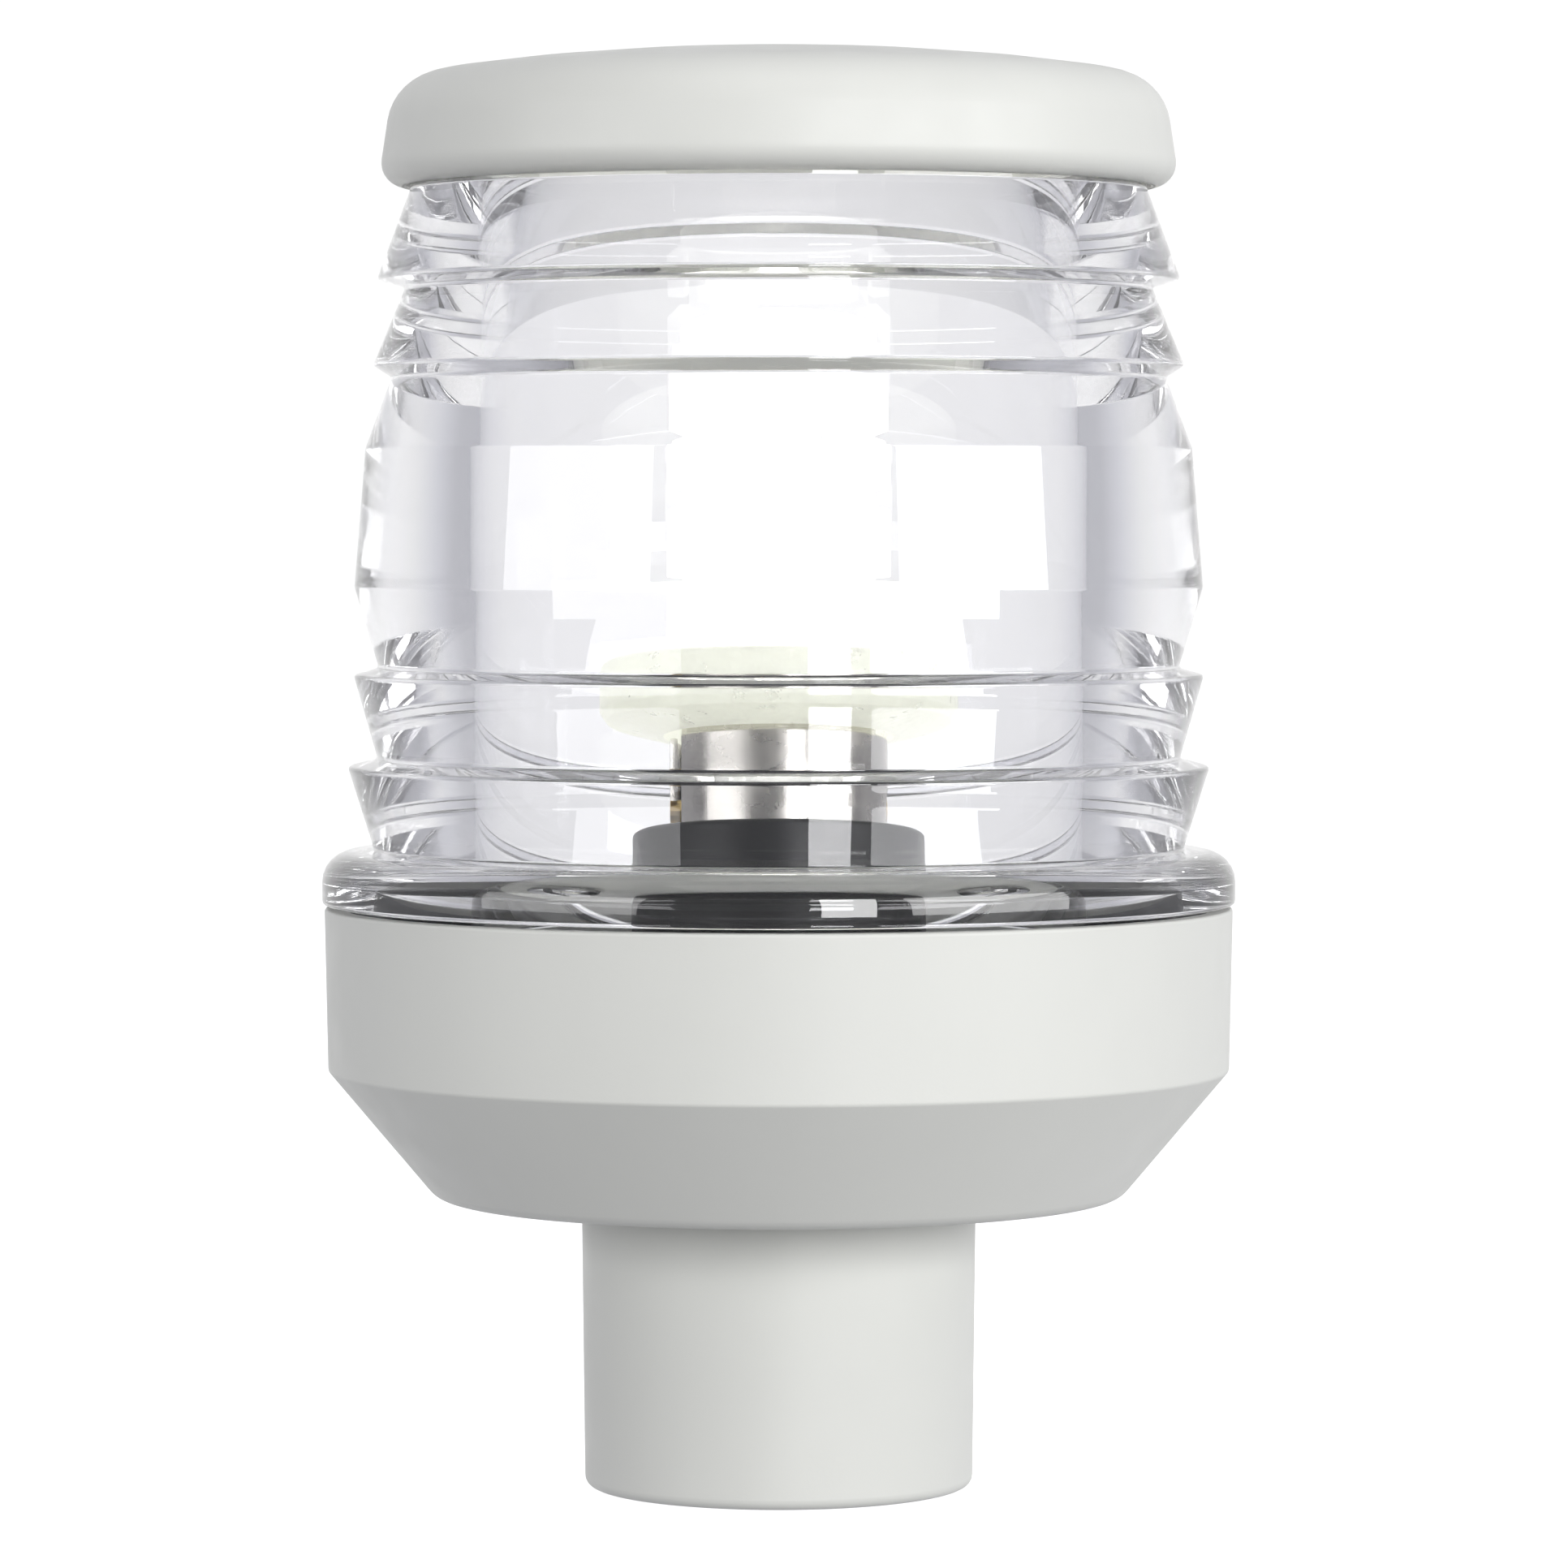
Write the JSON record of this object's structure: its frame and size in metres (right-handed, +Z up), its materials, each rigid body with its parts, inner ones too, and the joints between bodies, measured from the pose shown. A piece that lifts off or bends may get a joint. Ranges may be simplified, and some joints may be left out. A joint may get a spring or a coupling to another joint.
{
  "type": "all-round navigation light",
  "caption": "White all-round navigation light for a pole: shanked housing, clear ribbed drum lens that twists off, domed cap and LED bayonet bulb.",
  "frame": {"origin": "centre of the shank's bottom face, on the axis of the light", "axes": "+Z up along the axis of the light; +X towards one bayonet pin; the lamp is round, so X and Y differ only inside"},
  "size_m": [0.0694, 0.0694, 0.109],
  "materials": {
    "white_abs": "white UV-stable ABS, satin",
    "clear_polycarbonate": "clear polycarbonate, moulded to a polish",
    "black_phenolic": "black phenolic, matt",
    "nickel_plate": "nickel-plated brass, drawn and lightly scratched",
    "brass": "bare brass",
    "stainless_steel": "stainless steel",
    "seal_rubber": "black nitrile rubber",
    "milky_plastic": "milky, slightly green polycarbonate",
    "board_white": "white solder mask",
    "phosphor_yellow": "phosphor over a white LED, lit"
  },
  "bodies": {
    "base": {"housing": "white_abs", "lamp_floor": "white_abs", "floor_screw_1": "stainless_steel", "floor_screw_2": "stainless_steel", "floor_screw_3": "stainless_steel", "holder_insulator": "black_phenolic", "holder_ring_nut": "nickel_plate", "holder_shell": "nickel_plate", "terminal_1": "brass", "terminal_2": "brass", "terminal_screw_1": "stainless_steel", "terminal_screw_2": "stainless_steel", "contact_spring_1": "stainless_steel", "contact_spring_2": "stainless_steel"},
    "seal": {"lens_seal": "seal_rubber"},
    "lens_cover": {"lens": "clear_polycarbonate", "cap": "white_abs"},
    "plungers": {"contact_plunger_1": "brass", "contact_plunger_2": "brass"},
    "bulb": {"bulb_base_shell": "nickel_plate", "bulb_base_insulator": "black_phenolic", "bulb_pin_1": "brass", "bulb_pin_2": "brass", "bulb_contact_1": "brass", "bulb_contact_2": "brass", "bulb_disc": "milky_plastic", "led_top_board": "board_white", "led_board_1": "board_white", "led_board_2": "board_white", "led_board_3": "board_white", "led_board_4": "board_white", "led_board_5": "board_white", "led_board_6": "board_white", "led_chip_1_1": "phosphor_yellow", "led_chip_1_2": "phosphor_yellow", "led_chip_2_1": "phosphor_yellow", "led_chip_2_2": "phosphor_yellow", "led_chip_3_1": "phosphor_yellow", "led_chip_3_2": "phosphor_yellow", "led_chip_4_1": "phosphor_yellow", "led_chip_4_2": "phosphor_yellow", "led_chip_5_1": "phosphor_yellow", "led_chip_5_2": "phosphor_yellow", "led_chip_6_1": "phosphor_yellow", "led_chip_6_2": "phosphor_yellow"}
  },
  "joints": [
    {"name": "lens_lift", "type": "slide", "parent": "base", "child": "seal", "axis": [0, 0, 1], "range_m": [0, 0.00125]},
    {"name": "lens_turn", "type": "hinge", "parent": "seal", "child": "lens_cover", "pos_m": [0, 0, 0.0444], "axis": [0, 0, 1], "range_deg": [0, 50.2]},
    {"name": "bulb_drop", "type": "slide", "parent": "base", "child": "plungers", "axis": [0, 0, 1], "range_m": [-0.0015, 0], "stiffness_N_per_m": 1500, "springref_m": 0.0005, "deforming": ["contact_spring_1", "contact_spring_2"]},
    {"name": "bulb_turn", "type": "hinge", "parent": "plungers", "child": "bulb", "pos_m": [0, 0, 0.0566], "axis": [0, 0, 1], "range_deg": [0, 20.1]}
  ],
  "couplings": [
    {"joint": "lens_turn", "follows": "lens_lift", "rad_per_m": 698.13},
    {"joint": "bulb_turn", "follows": "bulb_drop", "rad_per_m": -232.71}
  ]
}
